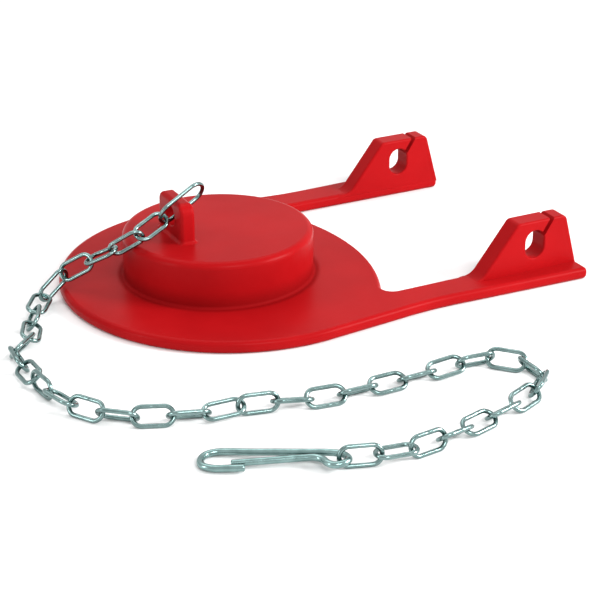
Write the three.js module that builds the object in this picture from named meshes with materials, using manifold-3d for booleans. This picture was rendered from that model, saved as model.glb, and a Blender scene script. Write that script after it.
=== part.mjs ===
// Toilet flapper: one rubber moulding that closes a flush valve, its lift chain and the chain clip.
// Millimetres, +Z up. The moulding lies on its underside, its hinge ears towards +X, and the chain
// runs over the cap's front rim and lies on the same surface beside it.
import * as THREE from 'three';
import { mergeVertices } from 'three/addons/utils/BufferGeometryUtils.js';
import Module from 'manifold-3d';

// Sealing disc. The cap's axis is X = 0, Y = 0.
const discRadius = 43;
const discCentreX = 4.3;
const discThickness = 3;
const edgeRounding = 1.2;
const rearEdgeX = 36.9;
const rearEdgeRadius = 60;
const rearCornerRadius = 2.6;

// Arms that reach back to the hinge.
const armInnerY = 30.4;
const armWidth = 10.6;
const armEndX = 81.2;
const waistX = 38;
const waistDepth = 1.6;
const waistRadius = 90;

// Cap over the open air chamber.
const capRadius = 23.2;
const capHeight = 14.4;
const capRimRounding = 1.7;
const capFootRadius = 1.3;
const capWall = 2.2;
const chamberRoofRounding = 2;
const chamberMouthChamfer = 0.8;

// Hinge ears, flush with the inner sides of the arms.
const earThickness = 5.4;
const earHeight = 15.8;
const earFootX = 53.3;
const earTopFrontX = 63.3;
const earTopRearX = 77.3;
const earCornerRadius = 1.6;
const earEdgeRounding = 0.45;
const earHoleX = 68.4;
const earHoleZ = 9.7;
const earHoleWidth = 5.4;
const earHoleHeight = 7.2;
const earSlitWidth = 1.1;
const earSlitLean = 33;

// Lifting lug on the cap.
const lugX = -10.6;
const lugWidth = 14;
const lugThickness = 3.6;
const lugHeight = 9.6;
const lugCornerRadius = 2.6;
const lugRounding = 0.9;
const lugEyeRadius = 2.5;
const lugBridge = 1.9;

// Chain of wire links.
const wireDiameter = 1;
const linkLength = 9.7;
const linkWidth = 5.1;
const linkGap = 0.34;
const rimClearance = 0.3;
const endLinkLength = 13.9;
const endLinkWidth = 6.9;
const endLinkTilt = 28.5;
const endLinkHeading = 184.5;
const endLinkLean = 61.5;
const endLinkBack = 0.5;
const endLinkSide = 1.9;
const endLinkDrop = 1;

// Clip bent from one wire, its eye on the chain's last link.
const clipWireDiameter = 1.5;
const clipHeading = 149.5;
const clipEyeBack = 1.3;

// Facets.
const roundSteps = 64;
const edgeSteps = 3;
const routeSteps = 4000;
const wireSides = 6;
const linkSteps = 14;
const clipSides = 8;
const clipSteps = 56;
const overlap = 0.5;

const degrees = Math.PI / 180;
const up = new THREE.Vector3(0, 0, 1);

const rubber = new THREE.MeshStandardMaterial({ color: 0xbe1e23, roughness: 0.35, metalness: 0 });
const steel = new THREE.MeshStandardMaterial({ color: 0x9aa8a4, roughness: 0.25, metalness: 1 });

const wasm = await Module();
wasm.setup();

// A closed geometry as a solid that can be joined and cut.
function solidFrom(geometry) {
  const bare = geometry.index ? geometry.toNonIndexed() : geometry.clone();
  bare.deleteAttribute('normal');
  bare.deleteAttribute('uv');
  const merged = mergeVertices(bare, 1e-4);
  const mesh = new wasm.Mesh({
    numProp: 3,
    vertProperties: new Float32Array(merged.attributes.position.array),
    triVerts: new Uint32Array(merged.index.array),
  });
  return new wasm.Manifold(mesh);
}

function geometryFrom(solid) {
  const mesh = solid.getMesh();
  const geometry = new THREE.BufferGeometry();
  geometry.setAttribute('position', new THREE.BufferAttribute(mesh.vertProperties, 3));
  geometry.setIndex(new THREE.BufferAttribute(mesh.triVerts, 1));
  geometry.computeVertexNormals();
  return geometry;
}

function pointOn(centreX, centreY, radius, angle) {
  return new THREE.Vector2(centreX + radius * Math.cos(angle), centreY + radius * Math.sin(angle));
}

// Points of an arc from one angle to another, both ends included.
function arcPoints(centreX, centreY, radius, from, to, steps) {
  const points = [];
  for (let i = 0; i <= steps; i += 1) {
    points.push(pointOn(centreX, centreY, radius, from + ((to - from) * i) / steps));
  }
  return points;
}

// An outline with one corner of each given point rounded by its own radius.
function roundedOutline(corners) {
  const points = [];
  corners.forEach(({ at, radius }, i) => {
    const before = corners[(i + corners.length - 1) % corners.length].at;
    const after = corners[(i + 1) % corners.length].at;
    if (!radius) {
      points.push(at.clone());
      return;
    }
    const inward = before.clone().sub(at).normalize();
    const outward = after.clone().sub(at).normalize();
    const half = Math.acos(THREE.MathUtils.clamp(inward.dot(outward), -1, 1)) / 2;
    const reach = radius / Math.tan(half);
    const centre = inward.clone().add(outward).normalize().multiplyScalar(radius / Math.sin(half)).add(at);
    const start = inward.multiplyScalar(reach).add(at).sub(centre).angle();
    const end = outward.multiplyScalar(reach).add(at).sub(centre).angle();
    let sweep = end - start;
    if (sweep > Math.PI) sweep -= 2 * Math.PI;
    if (sweep < -Math.PI) sweep += 2 * Math.PI;
    points.push(...arcPoints(centre.x, centre.y, radius, start, start + sweep, edgeSteps));
  });
  return points;
}

// Seen from above: the disc's front as a circle, its sides running at a tangent to a slight waist,
// the arms out to their ends, and the rear edge as a shallow arc with hollow corners at the arms.
function flapperOutline() {
  const armOuterY = armInnerY + armWidth;
  const waist = new THREE.Vector2(waistX - discCentreX, armOuterY - waistDepth);
  const tangentAngle = waist.angle() + Math.acos(discRadius / waist.length());
  const frontSteps = Math.round((roundSteps * (Math.PI - tangentAngle)) / (2 * Math.PI));
  const front = arcPoints(discCentreX, 0, discRadius, Math.PI, tangentAngle, frontSteps);
  const rearCentreX = rearEdgeX - rearEdgeRadius;
  const cornerY = armInnerY - rearCornerRadius;
  const cornerX = rearCentreX + Math.sqrt((rearEdgeRadius + rearCornerRadius) ** 2 - cornerY ** 2);
  const rearAngle = Math.atan2(cornerY, cornerX - rearCentreX);
  const corner = arcPoints(cornerX, cornerY, rearCornerRadius, Math.PI / 2, Math.PI + rearAngle, 2 * edgeSteps);
  const rear = arcPoints(rearCentreX, 0, rearEdgeRadius, rearAngle, 0, 2 * edgeSteps);
  const sharp = (at) => ({ at, radius: 0 });
  const half = [
    ...front.map(sharp),
    { at: new THREE.Vector2(waistX, armOuterY - waistDepth), radius: waistRadius },
    sharp(new THREE.Vector2(armEndX, armOuterY)),
    sharp(new THREE.Vector2(armEndX, armInnerY)),
    ...[...corner, ...rear.slice(1)].map(sharp),
  ];
  const mirrored = half.slice(1, -1).reverse().map(({ at, radius }) => (
    { at: new THREE.Vector2(at.x, -at.y), radius }
  ));
  return roundedOutline([...half, ...mirrored]);
}

// A flat piece of one thickness with rounded edges, its outline kept at full size.
function roundedPlate(outline, thickness, rounding) {
  return new THREE.ExtrudeGeometry(new THREE.Shape(outline), {
    depth: thickness - 2 * rounding,
    bevelThickness: rounding,
    bevelSize: rounding,
    bevelOffset: -rounding,
    bevelSegments: 2,
    curveSegments: edgeSteps,
  }).translate(0, 0, rounding);
}

// Cap: a short drum with a rounded rim and a small fillet where it meets the disc.
function capGeometry() {
  const footTop = discThickness + capFootRadius;
  const rimBase = capHeight - capRimRounding;
  const profile = [
    new THREE.Vector2(0, discThickness - overlap),
    new THREE.Vector2(capRadius + capFootRadius, discThickness - overlap),
    ...arcPoints(capRadius + capFootRadius, footTop, capFootRadius, -Math.PI / 2, -Math.PI, edgeSteps),
    ...arcPoints(capRadius - capRimRounding, rimBase, capRimRounding, 0, Math.PI / 2, edgeSteps + 1),
    new THREE.Vector2(0, capHeight),
  ];
  return new THREE.LatheGeometry(profile, roundSteps).rotateX(Math.PI / 2);
}

// Air chamber under the cap, open at the underside.
function chamberGeometry() {
  const radius = capRadius - capWall;
  const roof = capHeight - capWall;
  const profile = [
    new THREE.Vector2(0, -overlap),
    new THREE.Vector2(radius + chamberMouthChamfer + overlap, -overlap),
    new THREE.Vector2(radius, chamberMouthChamfer),
    ...arcPoints(
      radius - chamberRoofRounding, roof - chamberRoofRounding, chamberRoofRounding, 0, Math.PI / 2, edgeSteps,
    ),
    new THREE.Vector2(0, roof),
  ];
  return new THREE.LatheGeometry(profile, roundSteps).rotateX(Math.PI / 2);
}

// An outline drawn in X and Z, given a thickness along Y between two faces.
function standingPlate(outline, nearY, farY, rounding) {
  const plate = rounding
    ? roundedPlate(outline, farY - nearY, rounding)
    : new THREE.ExtrudeGeometry(new THREE.Shape(outline), { depth: farY - nearY, bevelEnabled: false });
  return plate.rotateX(Math.PI / 2).translate(0, farY, 0);
}

// Hinge ear with its sloped front, its peg hole and the slit that lets the peg snap in.
function earSolid(side) {
  const nearY = side > 0 ? armInnerY : -armInnerY - earThickness;
  const farY = nearY + earThickness;
  const outline = roundedOutline([
    { at: new THREE.Vector2(earFootX, discThickness - edgeRounding), radius: 0 },
    { at: new THREE.Vector2(armEndX, discThickness - edgeRounding), radius: 0 },
    { at: new THREE.Vector2(earTopRearX, earHeight), radius: earCornerRadius },
    { at: new THREE.Vector2(earTopFrontX, earHeight), radius: earCornerRadius },
  ]);
  const ear = solidFrom(standingPlate(outline, nearY, farY, earEdgeRounding));
  const rise = (earHoleHeight - earHoleWidth) / 2;
  const hole = [
    ...arcPoints(earHoleX, earHoleZ + rise, earHoleWidth / 2, 0, Math.PI, 3 * edgeSteps),
    ...arcPoints(earHoleX, earHoleZ - rise, earHoleWidth / 2, Math.PI, 2 * Math.PI, 3 * edgeSteps),
  ];
  const slit = [
    new THREE.Vector2(-earSlitWidth / 2, 0),
    new THREE.Vector2(earSlitWidth / 2, 0),
    new THREE.Vector2(earSlitWidth / 2, earHeight),
    new THREE.Vector2(-earSlitWidth / 2, earHeight),
  ].map((p) => p.rotateAround(new THREE.Vector2(), -earSlitLean * degrees))
    .map((p) => p.add(new THREE.Vector2(earHoleX + earHoleWidth / 4, earHoleZ + rise)));
  const cutters = [hole, slit].map((cut) => (
    solidFrom(standingPlate(cut, nearY - overlap, farY + overlap, 0))
  ));
  return cutters.reduce((part, cutter) => part.subtract(cutter), ear);
}

// Lifting lug: an upright tab across the cap with an eye for the chain's end link.
function lugSolid() {
  const top = capHeight + lugHeight;
  const outline = roundedOutline([
    { at: new THREE.Vector2(-lugWidth / 2, capHeight - overlap), radius: 0 },
    { at: new THREE.Vector2(lugWidth / 2, capHeight - overlap), radius: 0 },
    { at: new THREE.Vector2(lugWidth / 2, top), radius: lugCornerRadius },
    { at: new THREE.Vector2(-lugWidth / 2, top), radius: lugCornerRadius },
  ]);
  const tab = roundedPlate(outline, lugThickness, lugRounding);
  const eyeZ = top - lugBridge - lugEyeRadius;
  const eye = new THREE.ExtrudeGeometry(
    new THREE.Shape(arcPoints(0, eyeZ, lugEyeRadius, 0, 2 * Math.PI, 5 * edgeSteps).slice(1)),
    { depth: lugThickness + 2 * overlap, bevelEnabled: false },
  ).translate(0, 0, -overlap);
  const placed = [tab, eye].map((g) => solidFrom(
    g.rotateX(Math.PI / 2).rotateZ(Math.PI / 2).translate(lugX - lugThickness / 2, 0, 0),
  ));
  return placed[0].subtract(placed[1]);
}

function flapperGeometry() {
  const sheet = solidFrom(roundedPlate(flapperOutline(), discThickness, edgeRounding));
  const pieces = [solidFrom(capGeometry()), earSolid(1), earSolid(-1), lugSolid()];
  const moulding = pieces.reduce((part, piece) => part.add(piece), sheet);
  return geometryFrom(moulding.subtract(solidFrom(chamberGeometry())));
}

// A wire link in the XY plane, long along X: a ring whose two halves are drawn apart.
function linkGeometry(length, width) {
  const ring = new THREE.TorusGeometry((width - wireDiameter) / 2, wireDiameter / 2, wireSides, linkSteps);
  const places = ring.attributes.position;
  const draw = (length - width) / 2;
  for (let i = 0; i < places.count; i += 1) {
    places.setX(i, places.getX(i) + Math.sign(places.getX(i)) * draw);
  }
  return ring;
}

// Turns a mesh so that its X runs along a direction and its Y leans by an angle from the horizontal.
function aim(mesh, along, lean) {
  const side = new THREE.Vector3().crossVectors(up, along).normalize();
  side.applyAxisAngle(along, lean * degrees);
  const normal = new THREE.Vector3().crossVectors(along, side);
  mesh.quaternion.setFromRotationMatrix(new THREE.Matrix4().makeBasis(along, side, normal));
}

const linkPitch = linkLength - 2 * wireDiameter - linkGap;
const linkHalf = (linkWidth - wireDiameter) / 2;
const jointReach = wireDiameter + linkGap / 2;

const endLinkAlong = new THREE.Vector3(
  Math.cos(endLinkHeading * degrees) * Math.cos(endLinkTilt * degrees),
  Math.sin(endLinkHeading * degrees) * Math.cos(endLinkTilt * degrees),
  -Math.sin(endLinkTilt * degrees),
);
const endLinkCentre = new THREE.Vector3(
  lugX + endLinkBack, -endLinkSide, capHeight + lugHeight - endLinkDrop,
);
const firstJoint = endLinkCentre.clone().addScaledVector(endLinkAlong, endLinkLength / 2 - jointReach);

// How far each link leans over, in degrees from lying flat, as the chain came to rest.
const leans = [
  150, 61, 171, 120, 79, -12, 52, -24, 54, -54, 31, 88, -26, 58, -48, 52, -40, 22, 86, -24,
  42, -38, 30, -34, 30, -54, 54, -54, 54, 138, 38, 152, 38, 108, 182, 100,
];

// Height of a joint above what the chain lies on: the more upright of its two links decides.
function restHeight(joint) {
  const beside = [leans[joint - 1], leans[joint]].filter((lean) => lean !== undefined);
  const upright = Math.max(...beside.map((lean) => Math.abs(Math.sin(lean * degrees))));
  return wireDiameter / 2 + linkHalf * upright;
}

// What the chain lies on: the cap's front rim, then down to the disc's front edge, then the surface
// beside the disc. Points on that surface are counted from the disc's front and near edges, so that
// the chain keeps clear of it.
const frontX = discCentreX - discRadius;
const nearY = -discRadius;
const rimX = -capRadius - rimClearance;
const overRim = [
  [0, -3.8], [0.33, 0.2], [0.62, 4.6], [0.88, 7.2], [1.12, 6.8], [1.36, 5],
].map(([share, y]) => new THREE.Vector3(
  THREE.MathUtils.lerp(rimX, frontX, share), y, THREE.MathUtils.lerp(capHeight, discThickness, share),
));
const onSurface = [
  [-10, 40], [-11.6, 36], [-13, 30.4], [-17.8, 27], [-20.4, 22.6], [-20.5, 16], [-20.3, 8], [-18.6, -1.4],
  [-14.4, -10], [-8, -15.8], [2, -19.8], [12, -22], [24, -24.6], [36, -26.4], [50, -26.2],
  [65, -26], [72.8, -26.8], [77.2, -31.6], [78, -38.6], [73, -44.2], [64.4, -47.6], [54, -50.4],
  [43, -53.6], [34.4, -54.2], [28, -52.9], [20, -50.2],
].map(([x, y]) => new THREE.Vector3(frontX + x, nearY + y, 0));
const route = new THREE.CatmullRomCurve3(
  [firstJoint.clone().setZ(firstJoint.z - restHeight(0)), ...overRim, ...onSurface],
  false,
  'centripetal',
);

// Joints between the links: from each one a straight stride of one pitch leads to the next.
function chainJoints() {
  const samples = route.getPoints(routeSteps);
  const joints = [firstJoint];
  let next = 0;
  while (joints.length <= leans.length && next < samples.length) {
    const joint = samples[next].clone();
    joint.z = Math.max(0, joint.z) + restHeight(joints.length);
    if (joint.distanceTo(joints[joints.length - 1]) >= linkPitch) joints.push(joint);
    next += 1;
  }
  while (joints.length <= leans.length) {
    const last = joints[joints.length - 1];
    joints.push(last.clone().setX(last.x - linkPitch));
  }
  return joints;
}

// Clip seen from above, along its length from the chain's last joint and across it towards the near
// side: the hook's blunt end, its bend, the long leg, the eye and the sprung gate.
const clipRoute = [
  [19, 3], [22.6, 3.1], [25.4, 3.05], [27.6, 1.9], [28.2, 0], [27.6, -2], [25.6, -3.3], [18, -3.2],
  [8, -2.9], [2, -2.6], [-0.1, -1.9], [-clipEyeBack, 0], [-0.4, 1.6], [1.4, 2.3], [2.8, 1.5], [3.8, 0.1],
  [5.4, -0.75], [8, -0.6], [15, 0.3], [22, 1.2],
].map(([along, across]) => new THREE.Vector3(along, across, 0));

function clipGeometry() {
  const wire = new THREE.Shape(arcPoints(0, 0, clipWireDiameter / 2, 0, 2 * Math.PI, clipSides).slice(1));
  return new THREE.ExtrudeGeometry(wire, {
    steps: clipSteps,
    bevelEnabled: false,
    extrudePath: new THREE.CatmullRomCurve3(clipRoute, false, 'centripetal'),
  });
}

const product = new THREE.Group();

const flapper = new THREE.Mesh(flapperGeometry(), rubber);
flapper.name = 'flapper_body';
product.add(flapper);

const endLink = new THREE.Mesh(linkGeometry(endLinkLength, endLinkWidth), steel.clone());
endLink.name = 'chain_end_link';
endLink.position.copy(endLinkCentre);
aim(endLink, endLinkAlong, endLinkLean);
product.add(endLink);

const joints = chainJoints();
for (let i = 1; i < joints.length; i += 1) {
  const link = new THREE.Mesh(linkGeometry(linkLength, linkWidth), steel.clone());
  link.name = `chain_link_${String(i).padStart(2, '0')}`;
  link.position.copy(joints[i - 1]).add(joints[i]).multiplyScalar(0.5);
  aim(link, joints[i].clone().sub(joints[i - 1]).normalize(), leans[i - 1]);
  product.add(link);
}

// The clip's eye end lies on the last link's wire and its bend on the surface.
const lastJoint = joints[joints.length - 1];
const clipEyeZ = wireDiameter + linkGap + clipWireDiameter / 2;
const clip = new THREE.Mesh(clipGeometry(), steel.clone());
clip.name = 'chain_clip';
clip.position.set(lastJoint.x, lastJoint.y, clipEyeZ);
const clipDrop = (clipEyeZ - clipWireDiameter / 2) / (clipRoute[4].x + clipEyeBack);
clip.rotation.set(0, Math.atan(clipDrop), clipHeading * degrees, 'ZYX');
product.add(clip);

// The exported frame has its origin at the middle of the whole footprint, on the surface.
const footprint = new THREE.Box3().setFromObject(product, true);
const middle = footprint.getCenter(new THREE.Vector3());
product.position.set(-middle.x, -middle.y, -footprint.min.z);
const framed = new THREE.Group();
framed.add(product);

export default framed;
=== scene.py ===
"""Looks of a toilet flapper with its lift chain and clip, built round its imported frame.

The moulding is satin red rubber, the chain and the clip are bright wire, and the set is a pale
studio table seen from a little above.  Lengths are metres in the finished meshes; the sizes of the
pieces are given in millimetres.
"""

import logging
import math
from dataclasses import dataclass
from enum import Enum

import bpy
import numpy as np
from mathutils import Matrix, Vector
from numpy.typing import NDArray


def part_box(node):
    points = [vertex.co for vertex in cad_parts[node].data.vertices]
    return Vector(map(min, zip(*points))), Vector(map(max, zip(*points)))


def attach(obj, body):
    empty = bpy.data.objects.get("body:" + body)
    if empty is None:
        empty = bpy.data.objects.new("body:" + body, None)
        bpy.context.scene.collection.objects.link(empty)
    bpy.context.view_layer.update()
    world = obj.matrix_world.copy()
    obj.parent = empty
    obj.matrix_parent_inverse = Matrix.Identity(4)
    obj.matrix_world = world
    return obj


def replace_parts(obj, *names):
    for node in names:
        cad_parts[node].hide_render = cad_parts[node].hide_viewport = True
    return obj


Points = NDArray[np.float64]
Colour = tuple[float, float, float, float]

LOG = logging.getLogger("flapper")
MILLIMETRE = 0.001
WHITE: Colour = (1.0, 1.0, 1.0, 1.0)
QUARTER_TURN = math.pi / 2.0
FULL_TURN = 2.0 * math.pi
TINY = 1e-9

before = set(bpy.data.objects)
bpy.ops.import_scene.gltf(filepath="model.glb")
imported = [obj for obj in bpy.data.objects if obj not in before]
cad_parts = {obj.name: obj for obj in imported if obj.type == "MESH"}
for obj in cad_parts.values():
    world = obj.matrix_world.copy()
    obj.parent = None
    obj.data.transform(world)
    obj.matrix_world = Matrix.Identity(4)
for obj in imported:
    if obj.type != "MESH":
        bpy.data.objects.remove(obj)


class Slot(Enum):
    """Finish slots of the record."""

    RUBBER = "rubber"
    STEEL = "chain_steel"


class Join(Enum):
    """Ways of combining two closed solids."""

    ADD = "UNION"
    CUT = "DIFFERENCE"


# Surfaces


@dataclass(frozen=True)
class Surface:
    """A mesh as plain arrays, in millimetres.

    Args:
        points: Corner places, one row each.
        faces: Faces as rows of corner numbers, each block with one number of corners.
    """

    points: Points
    faces: tuple[tuple[tuple[int, ...], ...], ...]

    def object(self, name: str) -> bpy.types.Object:
        """Makes the surface a smooth object at the origin.

        Args:
            name: Name of the object.

        Returns:
            The object, linked to the scene.
        """
        mesh = bpy.data.meshes.new(name)
        places = (self.points * MILLIMETRE).tolist()
        mesh.from_pydata(places, [], [face for block in self.faces for face in block])
        mesh.validate()
        smooth(mesh)
        mesh.update()
        made = bpy.data.objects.new(name, mesh)
        bpy.context.scene.collection.objects.link(made)
        return made


def smooth(mesh: bpy.types.Mesh) -> None:
    """Shades every face of a mesh smooth."""
    mesh.polygons.foreach_set("use_smooth", np.ones(len(mesh.polygons), dtype=bool))


def quads(rows: int, columns: int, wrap_rows: bool = False) -> NDArray[np.int64]:
    """Corner numbers of the squares of a grid whose columns are always joined up.

    Args:
        rows: Rows of the grid, each one ring.
        columns: Points in a ring.
        wrap_rows: True where the last ring joins the first.

    Returns:
        One row of four corner numbers for each square, facing out where rings turn to the left
        about the way in which the rows go.
    """
    starts = np.arange(rows if wrap_rows else rows - 1)
    row, column = np.meshgrid(starts, np.arange(columns), indexing="ij")
    above, beside = (row + 1) % rows, (column + 1) % columns
    corners = [
        row * columns + column,
        row * columns + beside,
        above * columns + beside,
        above * columns + column,
    ]
    return np.stack([corner.ravel() for corner in corners], axis=1)


def skin(grid: Points, closed: bool = False) -> Surface:
    """A surface over rings of points, closed by flat ends unless the rings run round to the first.

    Args:
        grid: Points by ring, place in the ring and coordinate.
        closed: True where the last ring joins the first.

    Returns:
        The closed surface.
    """
    rows, columns = grid.shape[:2]
    blocks = [tuple(map(tuple, quads(rows, columns, closed).tolist()))]
    if not closed:
        ring = np.arange(columns)
        blocks.append((tuple(ring[::-1].tolist()), tuple((ring + (rows - 1) * columns).tolist())))
    return Surface(grid.reshape(-1, 3), tuple(blocks))


def arc(centre: tuple[float, float], radius: float, start: float, end: float, steps: int) -> Points:
    """Points of an arc in a plane: the centre plus the radius times cosine and sine.

    Args:
        centre: Centre of the arc.
        radius: Its radius.
        start: First angle in radians.
        end: Last angle in radians.
        steps: Spaces between the points.

    Returns:
        The points, both ends included.
    """
    turn = np.linspace(start, end, steps + 1)
    return np.asarray(centre) + radius * np.stack([np.cos(turn), np.sin(turn)], axis=1)


def rounded(corners: Points, radii: Points, steps: int = 10) -> Points:
    """An outline with each corner replaced by an arc that touches both of its sides.

    The arc's centre lies on the corner's bisector at the radius over the sine of half the corner.

    Args:
        corners: Corners in order.
        radii: Radius at each corner, nought for a plain one.
        steps: Spaces in each arc.

    Returns:
        The outline's points in the same order.
    """
    back = np.roll(corners, 1, axis=0) - corners
    on = np.roll(corners, -1, axis=0) - corners
    back /= np.linalg.norm(back, axis=1, keepdims=True)
    on /= np.linalg.norm(on, axis=1, keepdims=True)
    half = np.arccos(np.clip((back * on).sum(axis=1), -1.0, 1.0)) / 2.0
    bisector = back + on
    bisector /= np.maximum(np.linalg.norm(bisector, axis=1, keepdims=True), TINY)
    centre = corners + bisector * (radii / np.sin(half))[:, None]
    touch = corners + back * (radii / np.tan(half))[:, None] - centre
    side = np.sign(back[:, 0] * on[:, 1] - back[:, 1] * on[:, 0])
    turn = -side[:, None] * (math.pi - 2.0 * half)[:, None] * np.linspace(0.0, 1.0, steps + 1)
    cosine, sine = np.cos(turn), np.sin(turn)
    x = touch[:, :1] * cosine - touch[:, 1:] * sine
    y = touch[:, :1] * sine + touch[:, 1:] * cosine
    places = centre[:, None, :] + np.stack([x, y], axis=2)
    keep = np.ones(places.shape[:2], dtype=bool)
    keep[radii <= 0.0, 1:] = False
    return places[keep]


def inset(outline: Points, depth: Points) -> Points:
    """Copies of an outline moved inwards square to its sides.

    Each corner moves along the sum of its sides' normals, over one plus their product.

    Args:
        outline: Outline that turns to the left.
        depth: How far each copy is moved in.

    Returns:
        Points by copy, place and coordinate.
    """
    side = np.roll(outline, -1, axis=0) - outline
    side /= np.linalg.norm(side, axis=1, keepdims=True)
    normal = np.stack([-side[:, 1], side[:, 0]], axis=1)
    before = np.roll(normal, 1, axis=0)
    shift = (normal + before) / (1.0 + (normal * before).sum(axis=1, keepdims=True))
    return outline[None] + depth[:, None, None] * shift[None]


def raised(flat: Points, height: Points) -> Points:
    """Flat rings, each lifted to a height of its own.

    Args:
        flat: Points by ring, place and two coordinates.
        height: Height of each ring.

    Returns:
        Points by ring, place and three coordinates.
    """
    return np.concatenate([flat, np.broadcast_to(height[:, None, None], (*flat.shape[:2], 1))], axis=2)


def plate(outline: Points, low: float, high: float, rounding: float, steps: int = 8) -> Points:
    """Rings of a flat plate with rounded edges: the outline goes in by a quarter circle at each face.

    Args:
        outline: Outline that turns to the left.
        low: Height of the lower face.
        high: Height of the upper face.
        rounding: Radius of the edges.
        steps: Spaces in each quarter circle.

    Returns:
        Points by ring, place and coordinate, from the lower face up.
    """
    turn = np.linspace(0.0, QUARTER_TURN, steps + 1)
    opening, closing = 1.0 - np.sin(turn), 1.0 - np.cos(turn)
    depth = np.concatenate([rounding * opening, rounding * closing])
    height = np.concatenate([low + rounding * closing, high - rounding * opening])
    return raised(inset(outline, depth), height)


def turned(profile: Points, steps: int) -> Points:
    """Rings of a turned body: each point of the profile goes round the upright axis.

    Args:
        profile: Radius and height of each ring.
        steps: Points in a ring.

    Returns:
        Points by ring, place and coordinate.
    """
    turn = np.linspace(0.0, FULL_TURN, steps, endpoint=False)
    radius, height = profile[:, :1], profile[:, 1:]
    level = np.broadcast_to(height, (len(profile), steps))
    return np.stack([radius * np.cos(turn), radius * np.sin(turn), level], axis=2)


def wire(path: Points, radius: Points, sides: int, closed: bool) -> Points:
    """Rings of a round wire along a path.

    A ring's first direction is the path's upright normal, kept square to the path by leaving out
    its part along the path; the second is square to both.

    Args:
        path: Points of the middle line.
        radius: Wire radius at each point.
        sides: Points in a ring.
        closed: True where the path ends at its start.

    Returns:
        Points by ring, place and coordinate.
    """
    if closed:
        along = np.roll(path, -1, axis=0) - np.roll(path, 1, axis=0)
    else:
        along = np.gradient(path, axis=0)
    along /= np.linalg.norm(along, axis=1, keepdims=True)
    up = np.array([0.0, 0.0, 1.0]) - along * along[:, 2:]
    up /= np.linalg.norm(up, axis=1, keepdims=True)
    across = np.cross(up, along)
    turn = np.linspace(0.0, FULL_TURN, sides, endpoint=False)[None, :, None]
    ring = across[:, None] * np.cos(turn) + up[:, None] * np.sin(turn)
    return path[:, None] + radius[:, None, None] * ring


def combine(first: bpy.types.Object, second: bpy.types.Object, join: Join) -> None:
    """Joins or cuts one closed solid with another and drops the second.

    Args:
        first: Solid that is kept and changed.
        second: Solid that is added or taken away.
        join: Which of the two.
    """
    step = first.modifiers.new("join", "BOOLEAN")
    step.object, step.operation, step.solver = second, join.value, "EXACT"
    graph = bpy.context.evaluated_depsgraph_get()
    made = bpy.data.meshes.new_from_object(first.evaluated_get(graph))
    first.modifiers.clear()
    first.data = made
    bpy.data.objects.remove(second)


# Shader graphs


class Socket:
    """A value in a shader graph that takes part in plain sums and products.

    Args:
        graph: Graph that the value belongs to.
        output: Output that carries it, or None behind a node without one.
    """

    def __init__(self, graph: "Graph", output: bpy.types.NodeSocket | None) -> None:
        """Keeps the graph and the output."""
        self.graph = graph
        self.output = output

    def _math(self, kind: str, first: "Socket | float", second: "Socket | float") -> "Socket":
        """The result of one Math node on two values."""
        return self.graph.node("ShaderNodeMath", {0: first, 1: second}, operation=kind)

    def __add__(self, other: "Socket | float") -> "Socket":
        """This value plus another."""
        return self._math("ADD", self, other)

    def __radd__(self, other: float) -> "Socket":
        """A number plus this value."""
        return self._math("ADD", other, self)

    def __sub__(self, other: "Socket | float") -> "Socket":
        """This value less another."""
        return self._math("SUBTRACT", self, other)

    def __rsub__(self, other: float) -> "Socket":
        """A number less this value."""
        return self._math("SUBTRACT", other, self)

    def __mul__(self, other: "Socket | float") -> "Socket":
        """This value times another."""
        return self._math("MULTIPLY", self, other)

    def __rmul__(self, other: float) -> "Socket":
        """A number times this value."""
        return self._math("MULTIPLY", other, self)


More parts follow.
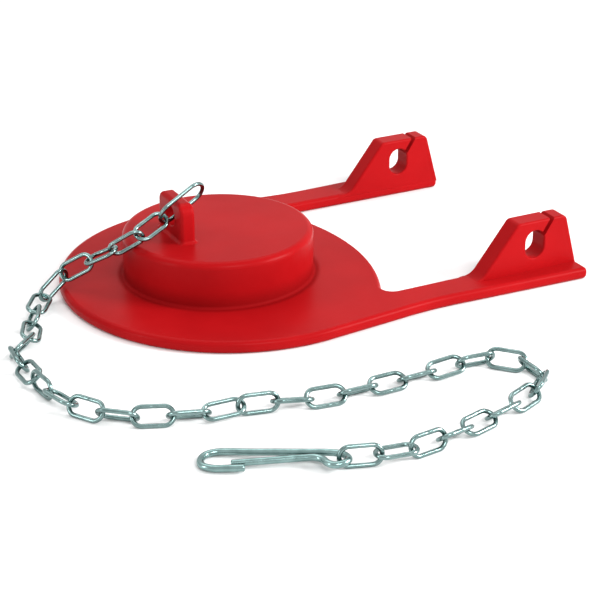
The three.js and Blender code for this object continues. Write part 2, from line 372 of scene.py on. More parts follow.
class Graph:
    """A node graph of a material or of the world.

    Args:
        tree: Tree that is emptied and filled.
    """

    def __init__(self, tree: bpy.types.NodeTree) -> None:
        """Empties the tree."""
        self.tree = tree
        tree.nodes.clear()

    def node(
        self, kind: str, inputs: dict[int | str, object], out: int | str = 0, **settings: object
    ) -> Socket:
        """Adds one node.

        Args:
            kind: Node type.
            inputs: Values or sockets by input name or number.
            out: Output that is handed back.
            **settings: Other settings of the node.

        Returns:
            The wanted output.
        """
        made = self.tree.nodes.new(kind)
        for name, value in settings.items():
            setattr(made, name, value)
        for key, value in inputs.items():
            if isinstance(value, Socket):
                self.tree.links.new(value.output, made.inputs[key])
            else:
                made.inputs[key].default_value = value
        return Socket(self, made.outputs[out] if len(made.outputs) else None)

    def place(self) -> Socket:
        """Coordinates fixed to the object."""
        return self.node("ShaderNodeTexCoord", {}, out="Object")

    def vector(self, kind: str, values: dict[int | str, object], out: int | str = 0) -> Socket:
        """The result of one Vector Math node."""
        return self.node("ShaderNodeVectorMath", values, out=out, operation=kind)

    def noise(self, scale: float, detail: float) -> Socket:
        """A soft pattern from nought to one.

        Args:
            scale: Waves in a metre.
            detail: Finer layers on top of the first.

        Returns:
            The pattern.
        """
        inputs = {"Vector": self.place(), "Scale": scale, "Detail": detail}
        return self.node("ShaderNodeTexNoise", inputs)

    def fade(self, value: Socket, full: float, none: float) -> Socket:
        """One up to a value and nought from another on, with a soft change between.

        Args:
            value: The value.
            full: Where the change begins.
            none: Where it ends.

        Returns:
            The share from one to nought.
        """
        limits = {0: value, 1: full, 2: none, 3: 1.0, 4: 0.0}
        return self.node("ShaderNodeMapRange", limits, interpolation_type="SMOOTHSTEP")

    def mix(self, amount: Socket, low: Socket | Colour, high: Colour) -> Socket:
        """A colour between two by an amount.

        Args:
            amount: Nought for the first colour and one for the second.
            low: First colour.
            high: Second colour.

        Returns:
            The mixed colour.
        """
        return self.node("ShaderNodeMix", {0: amount, 6: low, 7: high}, out=2, data_type="RGBA")

    def bump(self, height: Socket, distance: float, strength: float) -> Socket:
        """Small hollows and bumps from a height.

        Args:
            height: The height from nought to one.
            distance: Depth in metres.
            strength: Share of the full effect.

        Returns:
            The changed normal.
        """
        inputs = {"Height": height, "Distance": distance, "Strength": strength}
        return self.node("ShaderNodeBump", inputs)


def linear(red: int, green: int, blue: int) -> Colour:
    """A screen colour as light, by the usual screen curve.

    Args:
        red: Red from nought to 255.
        green: Green from nought to 255.
        blue: Blue from nought to 255.

    Returns:
        The colour with full cover.
    """
    share = np.array([red, green, blue]) / 255.0
    light = np.where(share <= 0.04045, share / 12.92, ((share + 0.055) / 1.055) ** 2.4)
    return (*light.tolist(), 1.0)


@dataclass(frozen=True)
class Rubber:
    """Moulded red rubber, satin with slight swirls, and a darker line of painted shade round the cap's
    foot.

    Args:
        cap: Place of the cap's axis, in millimetres.
        foot: Radius of the cap's foot, in millimetres.
        shade_width: Distances from the foot where the painted shade starts to fade and ends, in
            millimetres.
        shade_height: Heights where it starts to fade and ends, in millimetres.
        light: Colour of the paler swirls.
        deep: Colour of the deeper ones.
        line: Colour of the painted shade at the cap's foot.
        shade_share: Share of the painted shade's colour at the foot.
        line_dulling: Roughness that the painted shade's mask adds.
        gloss: Mean roughness.
        gloss_spread: Range of the roughness.
        shine: Specular level.
        swirl: Waves in a metre and layers of the colour's pattern.
        haze: The same for the roughness.
        ripple: The same for the bumps.
        ripple_depth: Depth of the bumps in metres.
        ripple_strength: Share of their full effect.
    """

    cap: tuple[float, float]
    foot: float = 23.6
    shade_width: tuple[float, float] = (0.3, 1.8)
    shade_height: tuple[float, float] = (3.4, 7.8)
    light: Colour = linear(172, 18, 22)
    deep: Colour = linear(142, 10, 14)
    line: Colour = linear(108, 2, 4)
    shade_share: float = 0.55
    line_dulling: float = 0.35
    gloss: float = 0.32
    gloss_spread: float = 0.1
    shine: float = 0.04
    swirl: tuple[float, float] = (55.0, 4.0)
    haze: tuple[float, float] = (160.0, 3.0)
    ripple: tuple[float, float] = (95.0, 2.0)
    ripple_depth: float = 0.0001
    ripple_strength: float = 0.3

    def foot_shade_mask(self, graph: Graph) -> Socket:
        """Mask of the painted shade: one in the hollow round the cap's foot, falling to nought beside and
        above it.

        Args:
            graph: Graph of the material.

        Returns:
            The share of the painted shade, which also sets the added roughness.
        """
        axis = (self.cap[0] * MILLIMETRE, self.cap[1] * MILLIMETRE, 0.0)
        shifted = graph.vector("SUBTRACT", {0: graph.place(), 1: axis})
        flat = graph.vector("MULTIPLY", {0: shifted, 1: (1.0, 1.0, 0.0)})
        radius = graph.vector("LENGTH", {0: flat}, out="Value")
        away = graph.node("ShaderNodeMath", {0: radius - self.foot * MILLIMETRE}, operation="ABSOLUTE")
        height = graph.node("ShaderNodeSeparateXYZ", {0: graph.place()}, out=2)
        beside = graph.fade(away, *(width * MILLIMETRE for width in self.shade_width))
        return beside * graph.fade(height, *(level * MILLIMETRE for level in self.shade_height))

    def material(self) -> bpy.types.Material:
        """The finish as a material.

        Returns:
            The material.
        """
        made = bpy.data.materials.new("red_rubber")
        made.use_nodes = True
        graph = Graph(made.node_tree)
        # Mask of the painted shade round the cap's foot; the same mask also adds roughness there.
        foot_shade_and_dulling = self.foot_shade_mask(graph)
        colour = graph.mix(graph.noise(*self.swirl), self.deep, self.light)
        rough = self.gloss_spread * graph.noise(*self.haze) + (self.gloss - self.gloss_spread / 2.0)
        shader = graph.node(
            "ShaderNodeBsdfPrincipled",
            {
                # Painted shade: the base colour is pulled towards the dark line colour by the mask.
                "Base Color": graph.mix(self.shade_share * foot_shade_and_dulling, colour, self.line),
                "Roughness": rough + self.line_dulling * foot_shade_and_dulling,
                "Specular IOR Level": self.shine,
                "Normal": graph.bump(graph.noise(*self.ripple), self.ripple_depth, self.ripple_strength),
            },
        )
        graph.node("ShaderNodeOutputMaterial", {"Surface": shader})
        return made


@dataclass(frozen=True)
class Steel:
    """Drawn wire: bright, with a faint grey-green cast and fine marks.

    Args:
        name: Name of the finish.
        light: Colour of the clean wire.
        dark: Colour of the duller spots.
        gloss: Mean roughness.
        gloss_spread: Range of the roughness.
        spots: Waves in a metre and layers of the colour's pattern.
        haze: The same for the roughness.
        marks: The same for the bumps.
        mark_depth: Depth of the bumps in metres.
        mark_strength: Share of their full effect.
    """

    name: str
    light: Colour = linear(144, 168, 166)
    dark: Colour = linear(74, 98, 97)
    gloss: float = 0.2
    gloss_spread: float = 0.16
    spots: tuple[float, float] = (420.0, 3.0)
    haze: tuple[float, float] = (900.0, 2.0)
    marks: tuple[float, float] = (2600.0, 2.0)
    mark_depth: float = 0.00003
    mark_strength: float = 0.3

    def material(self) -> bpy.types.Material:
        """The finish as a material.

        Returns:
            The material.
        """
        made = bpy.data.materials.new(self.name)
        made.use_nodes = True
        graph = Graph(made.node_tree)
        rough = self.gloss_spread * graph.noise(*self.haze) + (self.gloss - self.gloss_spread / 2.0)
        shader = graph.node(
            "ShaderNodeBsdfPrincipled",
            {
                "Base Color": graph.mix(graph.noise(*self.spots), self.dark, self.light),
                "Metallic": 1.0,
                "Roughness": rough,
                "Normal": graph.bump(graph.noise(*self.marks), self.mark_depth, self.mark_strength),
            },
        )
        graph.node("ShaderNodeOutputMaterial", {"Surface": shader})
        return made


# The moulding


@dataclass(frozen=True)
class Moulding:
    """The rubber flapper: disc, cap, arms, hinge ears and lifting lug as one solid.

    Sizes are millimetres from the cap's axis on the underside, with the ears towards +X.  The
    overlap is how far a joined or cutting body reaches past the face that it meets.
    """

    middle: tuple[float, float]
    disc_radius: float = 43.0
    disc_x: float = 4.3
    thickness: float = 3.0
    edge: float = 1.2
    rear_x: float = 36.9
    rear_radius: float = 60.0
    rear_corner: float = 2.6
    arm_inner: float = 30.4
    arm_outer: float = 41.0
    arm_end: float = 81.2
    arm_end_corner: float = 1.3
    waist_x: float = 38.0
    waist_y: float = 39.4
    waist_radius: float = 90.0
    cap_radius: float = 23.2
    cap_height: float = 14.4
    cap_rim: float = 1.7
    cap_foot: float = 0.7
    cap_wall: float = 2.2
    roof_radius: float = 2.0
    mouth: float = 0.8
    overlap: float = 1.0
    steps: int = 240
    rear_steps: int = 60
    corner_steps: int = 14
    foot_steps: int = 10
    roof_steps: int = 12

    def outline(self) -> Points:
        """Outline from above: front circle, its tangents to the waist, arms and rear arc.

        Returns:
            The outline's points, turning to the left.
        """
        waist = np.array([self.waist_x - self.disc_x, self.waist_y])
        reach = float(np.linalg.norm(waist))
        tangent = math.atan2(waist[1], waist[0]) + math.acos(self.disc_radius / reach)
        front = arc((self.disc_x, 0.0), self.disc_radius, tangent, FULL_TURN - tangent, self.steps)
        rear_x = self.rear_x - self.rear_radius
        corner_y = self.arm_inner - self.rear_corner
        corner_x = rear_x + math.sqrt((self.rear_radius + self.rear_corner) ** 2 - corner_y**2)
        lean = math.atan2(corner_y, corner_x - rear_x)
        rear = arc((rear_x, 0.0), self.rear_radius, -lean, lean, self.rear_steps)
        upper = arc(
            (corner_x, corner_y), self.rear_corner, math.pi + lean, QUARTER_TURN, self.corner_steps
        )
        tip = np.array([[self.arm_end, self.arm_inner], [self.arm_end, self.arm_outer]])
        bend = np.array([[self.waist_x, self.waist_y]])
        flip = np.array([1.0, -1.0])
        waist_radius, tip_radius = self.waist_radius, self.arm_end_corner
        parts = [
            (front, 0.0),
            (bend * flip, waist_radius),
            (tip[::-1] * flip, tip_radius),
            (upper[::-1] * flip, 0.0),
            (rear[1:-1], 0.0),
            (upper, 0.0),
            (tip, tip_radius),
            (bend, waist_radius),
        ]
        radii = [np.full(len(part), radius) for part, radius in parts]
        return rounded(np.concatenate([part for part, _ in parts]), np.concatenate(radii))

    def cap(self) -> Points:
        """The cap: a hollow fillet at its foot, an upright side and a rounded rim.

        Returns:
            Its rings from the foot up.
        """
        foot, rim = self.cap_foot, self.cap_rim
        outer = self.cap_radius + foot
        below = np.array([[outer, self.thickness - self.overlap]])
        hollow = arc((outer, self.thickness + foot), foot, -QUARTER_TURN, -math.pi, self.foot_steps)
        top = arc(
            (self.cap_radius - rim, self.cap_height - rim), rim, 0.0, QUARTER_TURN, self.corner_steps
        )
        return turned(np.concatenate([below, hollow, top]), self.steps)

    def chamber(self) -> Points:
        """The open air chamber below the cap, with a sloped mouth and a rounded roof.

        Returns:
            Its rings from the mouth up.
        """
        radius, roof, corner = (
            self.cap_radius - self.cap_wall,
            self.cap_height - self.cap_wall,
            self.roof_radius,
        )
        mouth = np.array([[radius + self.mouth + self.overlap, -self.overlap], [radius, self.mouth]])
        top = arc((radius - corner, roof - corner), corner, 0.0, QUARTER_TURN, self.roof_steps)
        return turned(np.concatenate([mouth, top]), self.steps)

    def body(self, rings: Points, name: str) -> bpy.types.Object:
        """A closed body over rings, in the row's frame."""
        return skin(rings + np.array([*self.middle, 0.0])).object(name)

    def solid(self) -> bpy.types.Object:
        """Puts the whole moulding together.

        Returns:
            One closed object.
        """
        made = self.body(plate(self.outline(), 0.0, self.thickness, self.edge), "flapper")
        combine(made, self.body(self.cap(), "cap"), Join.ADD)
        lug = Lug(floor=self.cap_height)
        combine(made, self.body(lug.tab(), "lug"), Join.ADD)
        for side in (-1.0, 1.0):
            ear = Ear(side=side, floor=self.thickness, inner=self.arm_inner)
            combine(made, self.body(ear.blade(), "ear"), Join.ADD)
            combine(made, self.body(ear.hole(), "hole"), Join.CUT)
            combine(made, self.body(ear.slit(), "slit"), Join.CUT)
        combine(made, self.body(lug.eye(), "eye"), Join.CUT)
        combine(made, self.body(self.chamber(), "chamber"), Join.CUT)
        return made


@dataclass(frozen=True)
class Lug:
    """Lifting lug on the cap: an upright tab with a flared foot and an eye along X.

    Sizes are millimetres.  The side radius and the most that the top takes off it are shares of
    the edge's radius, and the overlap is how far tab and eye reach past the faces that they meet.
    """

    floor: float
    x: float = -10.6
    half_width: float = 7.0
    half_depth: float = 1.8
    height: float = 9.6
    corner: float = 2.6
    edge: float = 1.1
    side_share: float = 0.8
    top_share: float = 0.75
    flare: float = 0.9
    eye_radius: float = 2.5
    eye_edge: float = 0.45
    bridge: float = 1.9
    overlap: float = 0.6
    sides: int = 96
    foot_steps: int = 8
    top_steps: int = 16
    eye_sides: int = 64
    eye_steps: int = 6

    def tab(self) -> Points:
        """The tab from its foot up.

        A ring is a rectangle with round corners: its core's corners plus a radius times cosine and
        sine.  At the foot the radius grows by a hollow quarter circle, and at the top width and
        depth shrink by round ones.

        Returns:
            The tab's rings.
        """
        top = self.floor + self.height
        foot_turn = np.linspace(0.0, QUARTER_TURN, self.foot_steps + 1)
        top_turn = np.linspace(0.0, QUARTER_TURN, self.top_steps + 1)
        foot = self.floor + self.flare * (1.0 - np.cos(foot_turn))
        high = top - self.corner * (1.0 - np.sin(top_turn))
        level = np.concatenate([[self.floor - self.overlap], foot, high])[:, None]

        def shrunk(radius: float, way: Points) -> Points:
            """What a quarter circle takes off at a way into it: radius less the rest's height."""
            return radius - np.sqrt(np.maximum(radius**2 - way**2, 0.0))

        grown = shrunk(self.flare, self.flare - np.clip(level - self.floor, 0.0, self.flare))
        wide = shrunk(self.corner, np.maximum(level - (top - self.corner), 0.0))
        deep = shrunk(self.edge, np.maximum(level - (top - self.edge), 0.0))
        turn = np.linspace(0.0, FULL_TURN, self.sides, endpoint=False) + math.pi / self.sides
        radius = self.edge * self.side_share + grown - np.minimum(deep, self.edge * self.top_share)
        core_x = self.half_depth - deep + grown - radius
        core_y = self.half_width - wide + grown - radius
        x = np.sign(np.cos(turn)) * core_x + radius * np.cos(turn)
        y = np.sign(np.sin(turn)) * core_y + radius * np.sin(turn)
        return np.stack([x + self.x, y, np.broadcast_to(level, x.shape)], axis=2)

    def eye(self) -> Points:
        """The eye along X, opening out at both faces by a quarter circle.

        Returns:
            Its rings from face to face.
        """
        turn = np.linspace(0.0, QUARTER_TURN, self.eye_steps + 1)
        radius = self.eye_radius + self.eye_edge * (1.0 - np.cos(turn))
        depth = self.half_depth - self.eye_edge * (1.0 - np.sin(turn))
        outer = np.array([[self.eye_radius + self.eye_edge, self.half_depth + self.overlap]])
        half = np.concatenate([np.stack([radius, depth], axis=1), outer])
        profile = np.concatenate([half[::-1] * np.array([1.0, -1.0]), half])
        rings = turned(profile, self.eye_sides)
        centre = self.floor + self.height - self.bridge - self.eye_radius
        return np.stack([rings[..., 2] + self.x, rings[..., 0], rings[..., 1] + centre], axis=2)


@dataclass(frozen=True)
class Ear:
    """Hinge ear: a blade with a sloped front, an oval peg hole and a slit up to its top.

    Sizes are millimetres.  The ramp is the low end of the sloped front, given by its two points'
    ways before the foot and their heights over the sheet.
    """

    side: float
    floor: float
    inner: float
    depth: float = 5.4
    height: float = 15.8
    foot_x: float = 53.3
    end_x: float = 81.2
    top_front_x: float = 63.3
    top_rear_x: float = 77.3
    corner: float = 1.6
    edge: float = 0.6
    foot_curve: float = 4.0
    foot_rise: float = 0.02
    ramp: tuple[float, float] = (3.0, -0.1)
    ramp_start: tuple[float, float] = (6.0, -1.2)
    hole_x: float = 68.4
    hole_z: float = 9.7
    hole_width: float = 5.4
    hole_height: float = 7.2
    hole_mouth: float = 0.4
    hole_steps: int = 28
    mouth_steps: int = 5
    slit_width: float = 1.1
    slit_lean: float = 33.0
    slit_offset: float = 1.35
    overlap: float = 0.6

    def _stand(self, rings: Points) -> Points:
        """Rings drawn in X, Z and the way out from the ear's inner face, stood upright."""
        stood = np.stack([rings[..., 0], self.side * (self.inner + rings[..., 2]), rings[..., 1]], axis=2)
        return stood[:, ::-1] if self.side > 0.0 else stood

    def blade(self) -> Points:
        """The blade, its sloped front running out in a hollow curve and a low ramp.

        Returns:
            Its rings from the inner face out.
        """
        base = self.floor + self.ramp_start[1]
        corners = np.array(
            [
                [self.foot_x - self.ramp_start[0], base],
                [self.end_x, base],
                [self.top_rear_x, self.height],
                [self.top_front_x, self.height],
                [self.foot_x, self.floor + self.foot_rise],
                [self.foot_x - self.ramp[0], self.floor + self.ramp[1]],
            ]
        )
        radii = np.array([0.0, 0.0, self.corner, self.corner, self.foot_curve, 0.0])
        return self._stand(plate(rounded(corners, radii), 0.0, self.depth, self.edge))

    def hole(self) -> Points:
        """The oval hole: two half circles, opening out by a quarter circle at both faces.

        Returns:
            Its rings from the inner face out.
        """
        rise, radius, mouth = self._rise(), self.hole_width / 2.0, self.hole_mouth
        upper = arc((self.hole_x, self.hole_z + rise), radius, 0.0, math.pi, self.hole_steps)
        lower = arc((self.hole_x, self.hole_z - rise), radius, math.pi, FULL_TURN, self.hole_steps)
        turn = np.linspace(0.0, QUARTER_TURN, self.mouth_steps + 1)
        opening, closing = mouth * (1.0 - np.sin(turn)), mouth * (1.0 - np.cos(turn))
        grow = np.concatenate([[mouth], opening, closing, [mouth]])
        out = np.concatenate([[-self.overlap], closing, self.depth - opening, [self.depth + self.overlap]])
        return self._stand(raised(inset(np.concatenate([upper, lower]), -grow), out))

    def _rise(self) -> float:
        """How far the centres of the hole's half circles lie from its middle."""
        return (self.hole_height - self.hole_width) / 2.0

    def slit(self) -> Points:
        """The slanted slit from the hole's upper rear side to past the blade's top.

        Returns:
            Its two rings.
        """
        start = np.array([self.hole_x + self.slit_offset, self.hole_z + self._rise()])
        lean = math.radians(self.slit_lean)
        up = np.array([math.sin(lean), math.cos(lean)]) * self.height
        across = np.array([math.cos(lean), -math.sin(lean)]) * self.slit_width / 2.0
        outline = np.array([start - across, start + across, start + across + up, start - across + up])
        faces = np.array([-self.overlap, self.depth + self.overlap])
        return self._stand(raised(np.stack([outline, outline]), faces))


# The chain and its clip


@dataclass(frozen=True)
class WireLink:
    """A welded oval link that takes the place of one plain link of the frame.

    Args:
        node: Name of the plain link.
        length: Length over all.
        width: Width over all.
        thick: Diameter of the wire.
        weld_width: Half width of the weld mark, as a share of the diameter.
        weld_depth: Its depth, as a share of the radius.
        steps: Rings round the link.
        sides: Points round the wire.
    """

    node: str
    length: float = 9.7
    width: float = 5.1
    thick: float = 1.0
    weld_width: float = 0.35
    weld_depth: float = 0.05
    steps: int = 128
    sides: int = 20

    def axes(self) -> tuple[Points, Points]:
        """The plain link's place: its principal axes come from its points, longest first.

        Returns:
            Its middle and its three directions.
        """
        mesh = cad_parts[self.node].data
        flat = np.zeros(len(mesh.vertices) * 3, np.float32)
        mesh.vertices.foreach_get("co", flat)
        points = flat.reshape(-1, 3).astype(float) / MILLIMETRE
        rough = (points.max(axis=0) + points.min(axis=0)) / 2.0
        turn = np.linalg.svd(points - points.mean(axis=0), full_matrices=False)[2]
        turn[2] = np.cross(turn[0], turn[1])
        local = (points - rough) @ turn.T
        return rough + ((local.max(axis=0) + local.min(axis=0)) / 2.0) @ turn, turn

    def surface(self) -> Surface:
        """The link: two half circles drawn apart by straight sides, one of them with a slight weld.

        Along the wire the angle grows evenly on the half circles and stands still on the sides,
        while the slide along the link does the opposite.

        Returns:
            The closed surface.
        """
        middle, turn = self.axes()
        bend, draw = (self.width - self.thick) / 2.0, (self.length - self.width) / 2.0
        quarter = math.pi * bend / 2.0
        knots = np.cumsum([0.0, quarter, 2.0 * draw, 2.0 * quarter, 2.0 * draw, quarter])
        run = np.linspace(0.0, knots[-1], self.steps, endpoint=False)
        angle = np.interp(run, knots, np.radians([0.0, 90.0, 90.0, 270.0, 270.0, 360.0]))
        slide = np.interp(run, knots, draw * np.array([1.0, 1.0, -1.0, -1.0, 1.0, 1.0]))
        path = np.stack([bend * np.cos(angle) + slide, bend * np.sin(angle), np.zeros_like(run)], axis=1)
        weld = np.exp(-(((run - quarter - draw) / (self.weld_width * self.thick)) ** 2))
        radius = self.thick / 2.0 * (1.0 - self.weld_depth * weld)
        rings = wire(path, radius, self.sides, True)
        return skin((rings.reshape(-1, 3) @ turn + middle).reshape(rings.shape), closed=True)

    def object(self) -> bpy.types.Object:
        """The link as an object in the plain link's place."""
        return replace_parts(self.surface().object(f"wire_{self.node}"), self.node)


@dataclass(frozen=True)
class Clip:
    """Open clip bent from one wire, its eye round the chain's last link.

    Sizes are millimetres, and the route is along the clip from the last joint and across it: the
    hook's blunt end, its bend, the long leg, the eye and the sprung gate.

    Args:
        last: Name of the chain's last plain link.
        before: Name of the link before it.
        thick: Diameter of the wire.
        gap: Room between two wires that hang in one another.
        heading: Way that the clip points, in degrees from +X.
        eye_back: How far the eye's wire lies behind the joint.
        blunt: Length of the blunt ends, as a share of the diameter.
        bend: Number of the route's point in the hook's bend.
        steps: Rings along the wire.
        sides: Points round the wire.
        route: Points of the middle line.
    """

    last: str
    before: str
    thick: float = 1.5
    gap: float = 0.34
    heading: float = 149.5
    eye_back: float = 1.3
    blunt: float = 0.22
    bend: int = 4
    steps: int = 420
    sides: int = 20
    route: tuple[tuple[float, float], ...] = (
        (19.0, 3.0), (22.6, 3.1), (25.4, 3.05), (27.6, 1.9), (28.2, 0.0), (27.6, -2.0), (25.6, -3.3),
        (18.0, -3.2), (8.0, -2.9), (2.0, -2.6), (-0.1, -1.9), (-1.3, 0.0), (-0.4, 1.6), (1.4, 2.3),
        (2.8, 1.5), (3.8, 0.1), (5.4, -0.75), (8.0, -0.6), (15.0, 0.3), (22.0, 1.2),
    )

    def path(self) -> Points:
        """Middle line: a smooth curve through the route's points.

        Each span is a cubic whose ends' slopes come from the neighbouring points, with the knots
        spaced by the square root of the distances.

        Returns:
            The line's points.
        """
        spots = np.column_stack([self.route, np.zeros(len(self.route))])
        ends = np.vstack([2.0 * spots[0] - spots[1], spots, 2.0 * spots[-1] - spots[-2]])
        spaces = np.sqrt(np.linalg.norm(np.diff(ends, axis=0), axis=1))
        knots = np.concatenate([[0.0], np.cumsum(spaces)])
        at = np.linspace(knots[1], knots[-2] - TINY, self.steps)
        span = np.clip(np.searchsorted(knots, at, side="right") - 1, 1, len(spots) - 1)
        p = [ends[span + shift] for shift in (-1, 0, 1, 2)]
        t = [knots[span + shift][:, None] for shift in (-1, 0, 1, 2)]
        at = at[:, None]

        def blend(a: Points, b: Points, low: Points, high: Points) -> Points:
            """Points between two by where the knot values lie between two others."""
            return ((high - at) * a + (at - low) * b) / (high - low)

        first = [blend(p[i], p[i + 1], t[i], t[i + 1]) for i in range(3)]
        second = [blend(first[i], first[i + 1], t[i], t[i + 2]) for i in range(2)]
        return blend(second[0], second[1], t[1], t[2])

    def joint(self) -> Points:
        """The chain's last joint, found from the places of its last two links.

        Returns:
            The joint's place.
        """
        link = WireLink(self.last)
        middle, turn = link.axes()
        along = turn[0] * np.sign(turn[0] @ (middle - WireLink(self.before).axes()[0]))
        return middle + along * (link.length / 2.0 - link.thick - self.gap / 2.0)

    def object(self) -> bpy.types.Object:
        """The clip in the plain clip's place: its eye on the last link's wire, its bend on the table.

        The wire's radius falls by a quarter circle at both ends.

        Returns:
            The object.
        """
        path = self.path()
        run = np.concatenate([[0.0], np.cumsum(np.linalg.norm(np.diff(path, axis=0), axis=1))])
        near = np.minimum(run, run[-1] - run)
        blunt = self.blunt * self.thick
        inner = np.clip(1.0 - near / blunt, 0.0, 1.0)
        radius = self.thick / 2.0 - blunt * (1.0 - np.sqrt(1.0 - inner**2))
        rings = wire(path, radius, self.sides, False)
        rise = WireLink.thick + self.gap + self.thick / 2.0
        drop = math.atan((rise - self.thick / 2.0) / (self.route[self.bend][0] + self.eye_back))
        turn = Matrix.Rotation(math.radians(self.heading), 3, "Z") @ Matrix.Rotation(drop, 3, "Y")
        joint = self.joint()
        placed = rings.reshape(-1, 3) @ np.array(turn).T + np.array([joint[0], joint[1], rise])
        made = skin(placed.reshape(rings.shape)).object("wire_clip")
        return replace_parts(made, "chain_clip")


# The studio


@dataclass(frozen=True)
class Camera:
    """Camera at the photograph's angle.

    Args:
        cap: Place of the cap's axis in the row's frame, in millimetres.
        reach: Place of the camera from there, in millimetres.
        azimuth: Way round the object in degrees, nought looking along +Y.
        elevation: Height above the horizon in degrees.
        roll: Turn about the line of sight in degrees.
        lens: Focal length in millimetres.
        sensor: Width of the picture that it is meant for, in millimetres.
        shift: Shift of the picture, as a share of its width.
        near: Nearest distance that is seen, in metres.
        far: Furthest distance that is seen, in metres.
    """

    cap: tuple[float, float]
    reach: tuple[float, float, float] = (-155.52, -348.64, 169.84)
    azimuth: float = -27.1005
    elevation: float = 25.0218
    roll: float = -0.1401
    lens: float = 101.705
    sensor: float = 36.0
    shift: tuple[float, float] = (-0.00328, 0.01696)
    near: float = 0.01
    far: float = 20.0

    def make(self) -> None:
        """Puts the camera in the scene, its axes worked out from the three angles."""
        data = bpy.data.cameras.new("camera")
        data.lens, data.sensor_width = self.lens, self.sensor
        data.shift_x, data.shift_y = self.shift
        data.clip_start, data.clip_end = self.near, self.far
        made = bpy.data.objects.new("camera", data)
        bpy.context.scene.collection.objects.link(made)
        a, e, r = (math.radians(v) for v in (self.azimuth, self.elevation, self.roll))
        back = Vector((math.sin(a) * math.cos(e), -math.cos(a) * math.cos(e), math.sin(e)))
        right = Vector((math.cos(a), math.sin(a), 0.0))
        up = back.cross(right)
        side = right * math.cos(r) + up * math.sin(r)
        top = up * math.cos(r) - right * math.sin(r)
        turn = Matrix((side, top, back)).transposed().to_4x4()
        place = Vector((*self.cap, 0.0)) + Vector(self.reach)
        made.matrix_world = Matrix.Translation(place * MILLIMETRE) @ turn
        bpy.context.scene.camera = made


@dataclass(frozen=True)
class Softbox:
    """A rectangular lamp that faces the object.

    Args:
        place: Place in metres.
        size: Width and height in metres.
        power: Power in watts.
        aim: Point that it faces, in metres.
    """

    place: tuple[float, float, float]
    size: tuple[float, float]
    power: float
    aim: tuple[float, float, float] = (0.0, 0.0, 0.01)

    def make(self, name: str) -> None:
        """Puts the lamp in the scene.

        Args:
            name: Name of the lamp.
        """
        data = bpy.data.lights.new(name, "AREA")
        data.shape, data.size, data.size_y, data.energy = "RECTANGLE", *self.size, self.power
        made = bpy.data.objects.new(name, data)
        bpy.context.scene.collection.objects.link(made)
        made.location = self.place
        made.rotation_mode = "QUATERNION"
        made.rotation_quaternion = (Vector(self.aim) - Vector(self.place)).to_track_quat("-Z", "Y")


@dataclass(frozen=True)
class Studio:
    """Pale table, white surroundings and soft lamps.

    Args:
        table: Width of the table in metres.
        near: Distance from the middle where the matt table starts to fade to plain white.
        far: Distance where it ends.
        matt: Colour of the table near the object.
        lamps: The lamps: above and behind, low at the left, at the right, and in front.
        surround: Light that comes from all round, where one is white.
    """

    table: float = 12.0
    near: float = 0.22
    far: float = 0.6
    matt: Colour = (0.9, 0.9, 0.9, 1.0)
    lamps: tuple[Softbox, ...] = (
        Softbox((0.05, 0.3, 0.7), (0.8, 0.5), 2.2),
        Softbox((-0.5, -0.02, 0.16), (0.06, 0.24), 0.5),
        Softbox((0.42, -0.32, 0.26), (0.2, 0.2), 3.8),
        Softbox((-0.05, -0.6, 0.5), (0.3, 0.2), 2.4),
    )
    surround: float = 0.6

    def floor(self) -> None:
        """The table under the object: matt white near it, and plain white further out."""
        half = self.table / 2.0 / MILLIMETRE
        corners = np.array([[-half, -half, 0.0], [half, -half, 0.0], [half, half, 0.0], [-half, half, 0.0]])
        made = Surface(corners, (((0, 1, 2, 3),),)).object("table")
        finish = bpy.data.materials.new("table")
        finish.use_nodes = True
        graph = Graph(finish.node_tree)
        away = graph.vector("LENGTH", {0: graph.place()}, out="Value")
        matt = graph.node("ShaderNodeBsdfDiffuse", {"Color": self.matt})
        plain = graph.node("ShaderNodeEmission", {"Color": WHITE, "Strength": 1.0})
        share = graph.fade(away, self.near, self.far)
        shader = graph.node("ShaderNodeMixShader", {0: share, 1: plain, 2: matt})
        graph.node("ShaderNodeOutputMaterial", {"Surface": shader})
        made.data.materials.append(finish)

    def world(self) -> None:
        """Surroundings: plain white to the camera and in mirrors, and mild as light."""
        made = bpy.data.worlds.new("studio")
        bpy.context.scene.world = made
        made.use_nodes = True
        graph = Graph(made.node_tree)

        def glow(strength: float) -> Socket:
            """An even white light."""
            return graph.node("ShaderNodeBackground", {"Color": WHITE, "Strength": strength})

        def ray(kind: str) -> Socket:
            """One for rays of a kind and nought for others."""
            return graph.node("ShaderNodeLightPath", {}, out=f"Is {kind} Ray")

        seen = ray("Camera") + ray("Glossy") + ray("Transmission")
        both = graph.node("ShaderNodeMixShader", {0: seen, 1: glow(self.surround), 2: glow(1.0)})
        graph.node("ShaderNodeOutputWorld", {"Surface": both})

    def make(self) -> None:
        """Builds the studio."""
        self.floor()
        self.world()
        for number, lamp in enumerate(self.lamps):
            lamp.make(f"softbox_{number}")
        bpy.context.scene.view_settings.view_transform = "Standard"


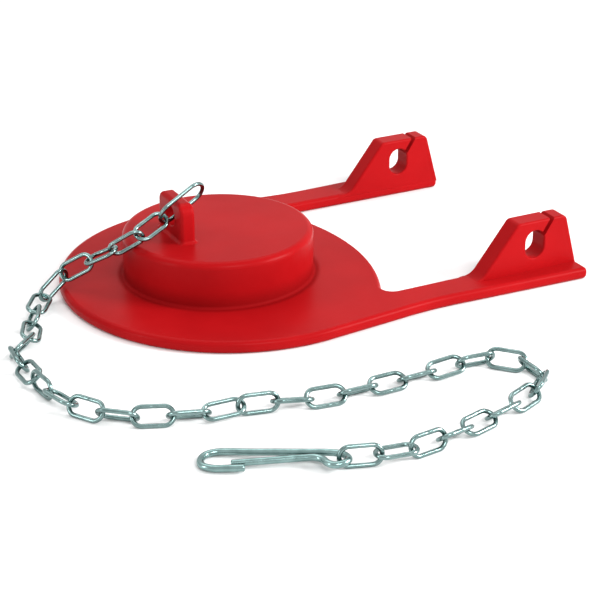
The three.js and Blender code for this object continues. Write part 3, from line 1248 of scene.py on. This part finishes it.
@dataclass(frozen=True)
class Flapper:
    """The whole object: the moulding, the chain and the clip.

    Args:
        cap: Place of the cap's axis in the row's frame, in millimetres.
        end_link: Length and width of the chain's end link, in millimetres.
        sharp: Angle in degrees from which an edge of the moulding stays sharp.
        wire: Finish of the links.
        clip_wire: Finish of the clip.
    """

    cap: tuple[float, float]
    end_link: tuple[float, float] = (13.9, 6.9)
    sharp: float = 40.0
    wire: Steel = Steel("chain_wire")
    clip_wire: Steel = Steel(
        "clip_wire", light=linear(152, 180, 178), dark=linear(82, 108, 106), gloss=0.22
    )

    def finish(self, made: bpy.types.Object, material: bpy.types.Material, slot: Slot) -> None:
        """Gives a piece its material and its body.

        Args:
            made: The piece.
            material: Its material.
            slot: Not used.
        """
        made.data.materials.clear()
        made.data.materials.append(material)
        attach(made, "root")
        LOG.info("%s: %d faces", made.name, len(made.data.polygons))

    def moulding(self) -> bpy.types.Object:
        """The rubber moulding in its place, smooth but for its sharp edges.

        Returns:
            The object.
        """
        made = Moulding(self.cap).solid()
        smooth(made.data)
        made.data.set_sharp_from_angle(angle=math.radians(self.sharp))
        soft = made.modifiers.new("soft", "WEIGHTED_NORMAL")
        soft.keep_sharp = True
        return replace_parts(made, "flapper_body")

    def make(self) -> None:
        """Builds and finishes every piece."""
        self.finish(self.moulding(), Rubber(self.cap).material(), Slot.RUBBER)
        bright = self.wire.material()
        self.finish(WireLink("chain_end_link", *self.end_link).object(), bright, Slot.STEEL)
        links = sorted(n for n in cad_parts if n.startswith("chain_link"))
        for node in links:
            self.finish(WireLink(node).object(), bright, Slot.STEEL)
        clip = Clip(last=links[-1], before=links[-2]).object()
        self.finish(clip, self.clip_wire.material(), Slot.STEEL)


def cap_axis() -> tuple[float, float]:
    """Place of the cap's axis in the row's frame, found from the plain moulding's outer faces."""
    low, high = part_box("flapper_body")
    return high.x / MILLIMETRE - Moulding.arm_end, (low.y + high.y) / 2.0 / MILLIMETRE


def main() -> None:
    """Builds the object and its studio."""
    logging.basicConfig(level=logging.INFO, format="%(name)s %(message)s")
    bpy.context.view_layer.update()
    cap = cap_axis()
    Flapper(cap).make()
    Studio().make()
    Camera(cap).make()


if __name__ == "__main__":
    main()
